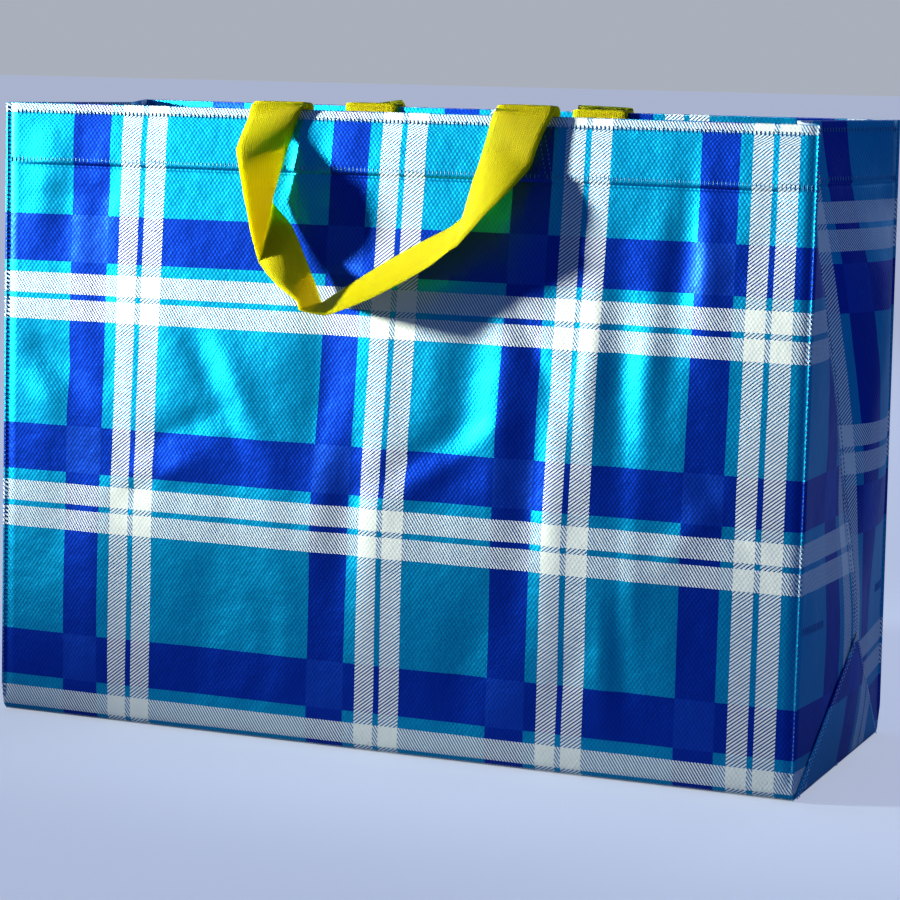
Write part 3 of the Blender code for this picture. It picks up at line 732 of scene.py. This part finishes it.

# One thread: the hem thread keeps its own blue, the edge thread is darkened as painted shade and the ear
# thread lightened as painted glints
for name, stitches, dark, light in (("hem_thread", hem_ticks, "#2A6C90", "#5298BC"),
                                    ("edge_thread_painted_shade", edge_dashes, "#2E66A4", "#6096C8"),
                                    ("ear_thread_painted_glints", ear_dots, "#9CCBE8", "#D6EEFA")):
    thread, tree, shader = new_material("polyester_" + name)
    place = add_node(tree, "ShaderNodeTexCoord")
    twist = add_node(tree, "ShaderNodeTexNoise", {0: place.outputs[3], 2: 900.0})
    tone = add_node(tree, "ShaderNodeMix", {0: twist.outputs[0], 6: (*linear(dark), 1),
                                            7: (*linear(light), 1)}, data_type="RGBA")
    tree.links.new(tone.outputs[2], shader.inputs["Base Color"])
    shader.inputs["Roughness"].default_value = 0.4
    seam = new_object(name, thread_mesh(stitches))
    seam.data.materials.append(thread)
    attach(seam, "root")


# Handles
# Two lengths of 38 mm woven polypropylene webbing in lemon yellow. Each is sewn inside the hem, comes over
# the rim and hangs in a loop that turns edge-on, so its foot stands out from the bag.

STRAP_WIDTH = 0.038
STRAP_THICKNESS = 0.0013
ACROSS_STEPS = 8
ALONG_STEP = 0.004
LEFT_TAIL_X = -0.0792
RIGHT_TAIL_X = 0.0850
INSIDE_HEM = 0.0042
OUTSIDE_HEM = 0.0060
STRAIGHTNESS = 0.7

# Rulings of the front strap, edge to edge: (x, drop below the rim, distance off the panel) in mm, with the
# inner edge first
LEFT_RULINGS = [
    ((-60.4, -3.9, 6.0), (-98.0, -2.9, 6.5)),
    ((-62.9, -2.4, 6.0), (-99.5, 6.1, 8.0)),
    ((-66.1, 3.2, 5.0), (-100.8, 15.1, 13.0)),
    ((-69.9, 13.3, 4.0), (-99.0, 24.8, 24.0)),
    ((-71.9, 19.9, 4.0), (-94.2, 31.2, 31.0)),
    ((-74.5, 27.3, 4.0), (-90.1, 37.5, 36.0)),
    ((-78.2, 40.6, 4.0), (-85.4, 53.0, 38.0)),
    ((-79.9, 47.4, 4.0), (-82.9, 63.8, 37.0)),
    ((-81.6, 52.8, 4.0), (-82.2, 75.2, 33.0)),
    ((-82.2, 55.7, 4.0), (-82.0, 83.3, 28.0)),
    ((-82.2, 58.2, 4.0), (-82.5, 90.0, 22.5)),
    ((-80.3, 60.2, 4.0), (-83.8, 94.7, 17.0)),
    ((-68.1, 72.0, 4.0), (-73.9, 100.5, 26.0)),
    ((-60.5, 86.4, 4.0), (-61.5, 107.4, 34.0)),
    ((-54.5, 98.6, 4.0), (-51.2, 112.5, 38.0)),
    ((-50.6, 106.8, 4.0), (-45.4, 115.6, 40.0)),
    ((-46.4, 116.7, 4.0), (-43.3, 120.1, 41.5)),
    ((-45.2, 118.6, 4.0), (-41.6, 120.9, 41.5)),
    ((-44.8, 118.4, 4.0), (-35.4, 122.1, 40.5)),
    ((-43.6, 117.7, 4.0), (-27.9, 123.2, 37.8)),
]
RIGHT_RULINGS = [
    ((-38.6, 114.3, 4.0), (-23.3, 122.1, 37.2)),
    ((-30.0, 108.7, 4.0), (-14.6, 118.7, 36.5)),
    ((-15.6, 99.3, 4.0), (2.1, 111.4, 34.5)),
    ((0.1, 89.7, 4.0), (21.2, 100.9, 32.5)),
    ((22.3, 77.1, 4.0), (39.2, 90.3, 34.2)),
    ((38.5, 68.8, 4.0), (52.0, 80.6, 36.5)),
    ((45.5, 63.3, 4.0), (55.0, 78.8, 36.0)),
    ((46.4, 62.4, 4.0), (56.9, 77.5, 36.0)),
    ((49.4, 49.8, 4.0), (61.9, 70.3, 31.8)),
    ((52.4, 38.8, 4.0), (71.1, 58.5, 28.8)),
    ((55.0, 30.9, 4.0), (78.9, 49.7, 25.0)),
    ((58.0, 19.9, 4.0), (85.9, 40.2, 17.8)),
    ((60.3, 11.4, 4.2), (91.8, 30.9, 10.5)),
    ((61.9, 5.3, 5.0), (94.3, 21.5, 9.5)),
    ((64.0, -0.5, 6.0), (97.9, 10.9, 8.5)),
    ((66.5, -4.4, 6.0), (102.6, 1.0, 7.0)),
]


def off_panel(x, drop, away):
    """A point in front of the bag, from its x, drop below the rim and distance off the panel, in mm."""
    height = BAG_HEIGHT - drop / 1000
    wall = bow(x / 1000, min(height, BAG_HEIGHT)) - half_depth(height)
    return Vector((x / 1000, wall - away / 1000, height))


def arch_over_rim(x, side, rise):
    """Rulings of a tail: up the inside of the hem and over the rim, as pairs of edge points."""
    pairs = []
    wall = bow(x, BAG_HEIGHT) - half_depth(BAG_HEIGHT)
    inside = wall + INSIDE_HEM
    outside = wall - OUTSIDE_HEM
    for drop in (0.034, 0.024, 0.014, 0.005):
        pairs.append((x, inside, BAG_HEIGHT - drop))
    for step in range(1, 8):
        turn = math.pi * step / 8
        share = (1.0 - math.cos(turn)) / 2
        pairs.append((x, inside + (outside - inside) * share, BAG_HEIGHT + rise * math.sin(turn)))
    rulings = []
    for middle, y, z in pairs:
        near = Vector((middle - side * STRAP_WIDTH / 2, y, z))
        rulings.append((near, near + Vector((side * STRAP_WIDTH, 0.0, 0.0))))
    return rulings


def strap_rulings(rise):
    """All rulings of one strap from tail to tail, as (inner or upper edge, outer or lower edge)."""
    hanging = [(off_panel(*a), off_panel(*b)) for a, b in LEFT_RULINGS + RIGHT_RULINGS]
    left = arch_over_rim(LEFT_TAIL_X, -1.0, 0.7 * rise)
    right = arch_over_rim(RIGHT_TAIL_X, 1.0, rise)
    return left + hanging + right[::-1]


def strap_mesh(rise):
    """Webbing as a closed ribbon, smooth between its rulings, that thins out at its selvedges."""
    rulings = strap_rulings(rise)
    lines = []
    last = len(rulings) - 1
    for i in range(last):
        a, b, c, d = [rulings[max(min(j, last), 0)] for j in (i - 1, i, i + 1, i + 2)]
        span = (b[0] + b[1] - c[0] - c[1]).length / 2
        steps = max(1, round(span / ALONG_STEP))
        for step in range(steps):
            t = step / steps
            edges = []
            for side in (0, 1):
                p, q, r, s = a[side], b[side], c[side], d[side]
                curve = q + 0.5 * ((r - p) * t + (2 * p - 5 * q + 4 * r - s) * t ** 2
                                   + (3 * q - p - 3 * r + s) * t ** 3)
                edges.append(curve.lerp(q.lerp(r, t), STRAIGHTNESS))
            lines.append(edges)
    lines.append(list(rulings[last]))
    mesh = bmesh.new()
    uv = mesh.loops.layers.uv.new("webbing")
    travelled = 0.0
    sections = []
    for i, (near, far) in enumerate(lines):
        before = lines[max(i - 1, 0)]
        after = lines[min(i + 1, len(lines) - 1)]
        middle = (near + far) / 2
        across = (far - near).normalized()
        run = (after[0] + after[1] - before[0] - before[1]).normalized()
        normal = across.cross(run).normalized()
        if i:
            travelled += (middle - (before[0] + before[1]) / 2).length
        half = (far - near).length / 2
        section = []
        for face_side in (1.0, -1.0):
            for k in range(ACROSS_STEPS + 1):
                share = 2.0 * k / ACROSS_STEPS - 1.0
                thick = STRAP_THICKNESS / 2 * (1.0 - 0.75 * abs(share) ** 8)
                spot = middle + across * half * share * face_side + normal * thick * face_side
                section.append((mesh.verts.new(spot), share * face_side * half))
        sections.append((section, travelled))
    ring = 2 * (ACROSS_STEPS + 1)
    for (here, run_a), (there, run_b) in zip(sections, sections[1:]):
        for k in range(ring):
            m = (k + 1) % ring
            face = mesh.faces.new((here[k][0], here[m][0], there[m][0], there[k][0]))
            face.smooth = True
            spots = ((here[k][1], run_a), (here[m][1], run_a), (there[m][1], run_b), (there[k][1], run_b))
            for loop, spot in zip(face.loops, spots):
                loop[uv].uv = spot
    mesh.faces.new([v for v, _ in sections[0][0]][::-1])
    mesh.faces.new([v for v, _ in sections[-1][0]])
    bmesh.ops.recalc_face_normals(mesh, faces=mesh.faces)
    return mesh


# Webbing: woven polypropylene, matt, with fine ribs 1.5 mm apart along it, crossed by picks 1.1 mm apart;
# the ribs and picks also darken the grooves and lighten the crests in its colour as painted shade
RIB_PITCH_MM = 1.5
PICK_PITCH_MM = 1.1
webbing, tree, shader = new_material("woven_polypropylene_webbing")
place = add_node(tree, "ShaderNodeUVMap", uv_map="webbing")
split = add_node(tree, "ShaderNodeSeparateXYZ", {0: place.outputs[0]})
ribs = add_node(tree, "ShaderNodeMath", {0: split.outputs[0], 1: 2000 * math.pi / RIB_PITCH_MM},
                operation="MULTIPLY")
ribs = add_node(tree, "ShaderNodeMath", {0: ribs.outputs[0]}, operation="SINE")
picks = add_node(tree, "ShaderNodeMath", {0: split.outputs[1], 1: 2000 * math.pi / PICK_PITCH_MM},
                 operation="MULTIPLY")
picks = add_node(tree, "ShaderNodeMath", {0: picks.outputs[0]}, operation="SINE")
height = add_node(tree, "ShaderNodeMath", {0: picks.outputs[0], 1: 0.4, 2: ribs.outputs[0]},
                  operation="MULTIPLY_ADD")
drift = add_node(tree, "ShaderNodeMapping", {0: place.outputs[0], 3: (700.0, 12.0, 1.0)})
drift = add_node(tree, "ShaderNodeTexNoise", {0: drift.outputs[0], 2: 1.0, 3: 2.0})
# The yellow varies at random along the webbing, plus painted shade: lighter on the rib and pick crests,
# darker in the grooves
tone = add_node(tree, "ShaderNodeMath", {0: drift.outputs[0], 1: 2.5, 2: height.outputs[0]},
                operation="MULTIPLY_ADD")
tone = add_node(tree, "ShaderNodeMapRange", {0: tone.outputs[0], 1: -0.2, 2: 2.8})
yellow_with_painted_rib_shade = add_node(tree, "ShaderNodeMix", {0: tone.outputs[0], 6: (*linear("#A29000"), 1),
                                          7: (*linear("#BAA600"), 1)}, data_type="RGBA")
tree.links.new(yellow_with_painted_rib_shade.outputs[2], shader.inputs["Base Color"])
shader.inputs["Roughness"].default_value = 0.68
shader.inputs["Specular IOR Level"].default_value = 0.06
shader.inputs["Subsurface Weight"].default_value = 1.0
shader.inputs["Subsurface Radius"].default_value = (1.0, 0.9, 0.15)
shader.inputs["Subsurface Scale"].default_value = 0.006
relief = add_node(tree, "ShaderNodeBump", {"Strength": 0.35, "Distance": 0.0002,
                                           "Height": height.outputs[0]})
tree.links.new(relief.outputs[0], shader.inputs["Normal"])

# The back handle is the front one turned round, a little to the left, and pulled closer over the rim
TO_BACK = Matrix.Translation((-0.004, 0.0, 0.0)) @ Matrix.Rotation(math.pi, 4, "Z")
for name, node, rise, stance in (("front_webbing", "front_handle", 0.0062, Matrix.Identity(4)),
                                 ("back_webbing", "back_handle", 0.0016, TO_BACK)):
    strap = new_object(name, strap_mesh(rise))
    strap.data.transform(stance)
    strap.data.materials.append(webbing)
    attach(strap, "root")
    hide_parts(node)


# Stage
# A plain pale floor and an even pale background, a small lamp from the left, and large weak ones from the
# right, from above and from behind.


def seen_directly(tree):
    """1 for what the camera sees and 0 for the light on the bag, which has no bare metal or glass."""
    return add_node(tree, "ShaderNodeLightPath").outputs["Is Camera Ray"]


FLOOR_REACH = 30.0
FLOOR_LEVEL = -0.0002
FLOOR_GLOW = 0.5
floor_mesh = bmesh.new()
floor_mesh.faces.new([floor_mesh.verts.new((x * FLOOR_REACH, y * FLOOR_REACH, FLOOR_LEVEL))
                      for x, y in ((-1, -1), (1, -1), (1, 1), (-1, 1))])
floor = new_object("floor", floor_mesh)
card, tree, shader = new_material("pale_matt_card")
shader.inputs["Base Color"].default_value = (*linear("#A6B2C6"), 1)
shader.inputs["Roughness"].default_value = 0.9
glow = add_node(tree, "ShaderNodeMath", {0: seen_directly(tree), 1: FLOOR_GLOW}, operation="MULTIPLY")
tree.links.new(glow.outputs[0], shader.inputs["Emission Strength"])
shader.inputs["Emission Color"].default_value = (*linear("#E2E9F6"), 1)
floor.data.materials.append(card)

# Lamps: name, place, aim, size, spread in degrees, watts and tint
for name, spot, aim, size, spread, power, tint in (
        ("key", (-1.30, -0.72, 0.52), (-0.14, -0.1, 0.40), 0.14, 38.0, 3.5, "#F4FFF6"),
        ("side", (1.9, -0.7, 0.8), (0.27, 0.0, 0.2), 0.9, 180.0, 3.0, "#94BAFF"),
        ("top", (-0.4, 0.3, 2.2), (0.0, -0.05, 0.2), 1.4, 180.0, 6.0, "#A4C4FF"),
        ("rear", (0.7, 2.3, 1.1), (0.0, 0.1, 0.2), 1.2, 180.0, 9.0, "#DCE8FF")):
    lamp_data = bpy.data.lights.new(name, "AREA")
    lamp_data.size = size
    lamp_data.spread = math.radians(spread)
    lamp_data.energy = power
    lamp_data.color = linear(tint)
    lamp = new_object(name, lamp_data)
    lamp.location = spot
    lamp.rotation_euler = (Vector(aim) - Vector(spot)).to_track_quat("-Z", "Y").to_euler()

SKY_ON_BAG = [0.26 * c for c in linear("#74A2FF")]
SKY_IN_VIEW = [0.56 * c for c in linear("#DCE4F2")]
world = bpy.data.worlds.new("studio")
world.use_nodes = True
tree = world.node_tree
sky = add_node(tree, "ShaderNodeMix", {0: seen_directly(tree), 6: (*SKY_ON_BAG, 1), 7: (*SKY_IN_VIEW, 1)},
               data_type="RGBA")
tree.links.new(sky.outputs[2], tree.nodes["Background"].inputs[0])
bpy.context.scene.world = world

# Camera, at the photograph's place
azimuth, elevation, roll = math.radians(22.42), math.radians(7.89), math.radians(1.08)
right = Vector((math.cos(azimuth), math.sin(azimuth), 0.0))
back = Vector((math.sin(azimuth) * math.cos(elevation), -math.cos(azimuth) * math.cos(elevation),
               math.sin(elevation)))
up = back.cross(right)
level = right * math.cos(roll) + up * math.sin(roll)
upright = up * math.cos(roll) - right * math.sin(roll)
camera_place = Matrix.Translation((0.718, -1.729, 0.440))
camera_turn = Matrix((level, upright, back)).transposed().to_4x4()
camera_data = bpy.data.cameras.new("camera")
camera_data.lens = 116.08
camera_data.sensor_width = 36.0
camera = new_object("camera", camera_data)
camera.matrix_world = camera_place @ camera_turn
bpy.context.scene.camera = camera
bpy.context.scene.view_settings.view_transform = "Standard"
